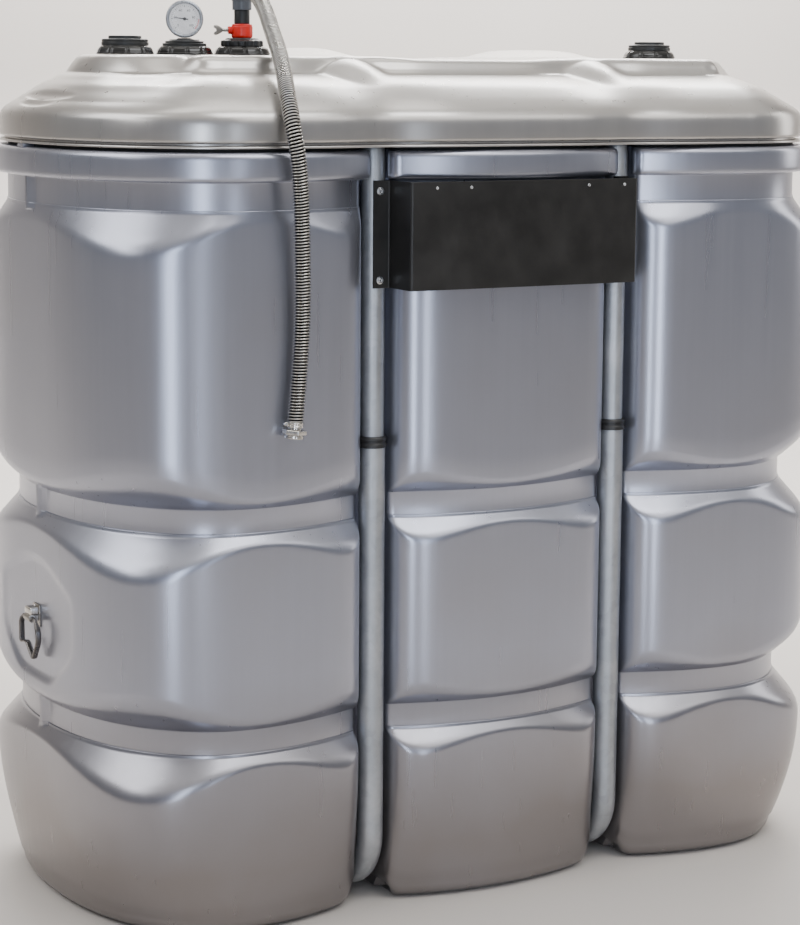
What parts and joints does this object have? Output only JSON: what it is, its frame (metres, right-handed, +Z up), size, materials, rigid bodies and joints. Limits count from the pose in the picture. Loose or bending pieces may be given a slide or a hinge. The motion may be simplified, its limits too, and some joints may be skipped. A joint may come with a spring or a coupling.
{
  "type": "storage tank",
  "caption": "Upright double-walled storage tank in tiered pillow panels, clasped by tube hoops, with screw necks, level gauge, suction hose and a sheet cover.",
  "frame": {"origin": "centre of the tank's underside, on the floor", "axes": "+Z up, +X along the tank's length to the right as seen from the front, -Y out of the front, where the hose hangs"},
  "size_m": [1.71, 0.9275, 1.8024],
  "materials": {
    "moulded_shell": "satin metallic moulded",
    "moulded_lid": "satin metallic moulded",
    "black_sheet": "satin powder coat",
    "matt_black_cap": "moulded matt",
    "gloss_black_nut": "moulded gloss",
    "gauge_case_grey": "satin",
    "gauge_glass": "clear",
    "red_plastic": "moulded",
    "dull_steel": "dull",
    "grey_plastic": "moulded matt",
    "nickel": "nickel plated",
    "steel_spiral": "spiral sheath",
    "polished_wire": "polished",
    "galvanised_tube": "hot dip galvanised",
    "dark_clip": "moulded matt"
  },
  "bodies": {
    "tank": {"back_collar_left": "dark_clip", "back_collar_right": "dark_clip", "clamp_screw": "dull_steel", "front_collar_left": "dark_clip", "front_collar_right": "dark_clip", "gauge_adapter": "matt_black_cap", "gauge_case": "gauge_case_grey", "gauge_glass": "gauge_glass", "hose_elbow": "nickel", "hose_end_clamp": "nickel", "hose_end_union": "nickel", "hose_tail": "nickel", "lid": "moulded_lid", "lower_hoop_left": "galvanised_tube", "lower_hoop_right": "galvanised_tube", "neck_nut_1": "gloss_black_nut", "neck_nut_2": "gloss_black_nut", "neck_nut_3": "gloss_black_nut", "neck_nut_4": "gloss_black_nut", "outer_tank": "moulded_shell", "plug_left": "matt_black_cap", "plug_right": "matt_black_cap", "ring_bracket": "dull_steel", "sheet_cover": "black_sheet", "suction_hose": "steel_spiral", "suction_nut": "matt_black_cap", "suction_tube": "matt_black_cap", "tube_clamp": "red_plastic", "tube_socket": "grey_plastic", "upper_hoop_left": "galvanised_tube", "upper_hoop_right": "galvanised_tube", "wing_grip": "dull_steel"},
    "ring": {"swing_ring": "polished_wire"}
  },
  "joints": [
    {"name": "ring_swing", "type": "hinge", "parent": "tank", "child": "ring", "pos_m": [-0.8445, 0, 0.565], "axis": [0, 1, 0], "range_deg": [0, 100]}
  ]
}
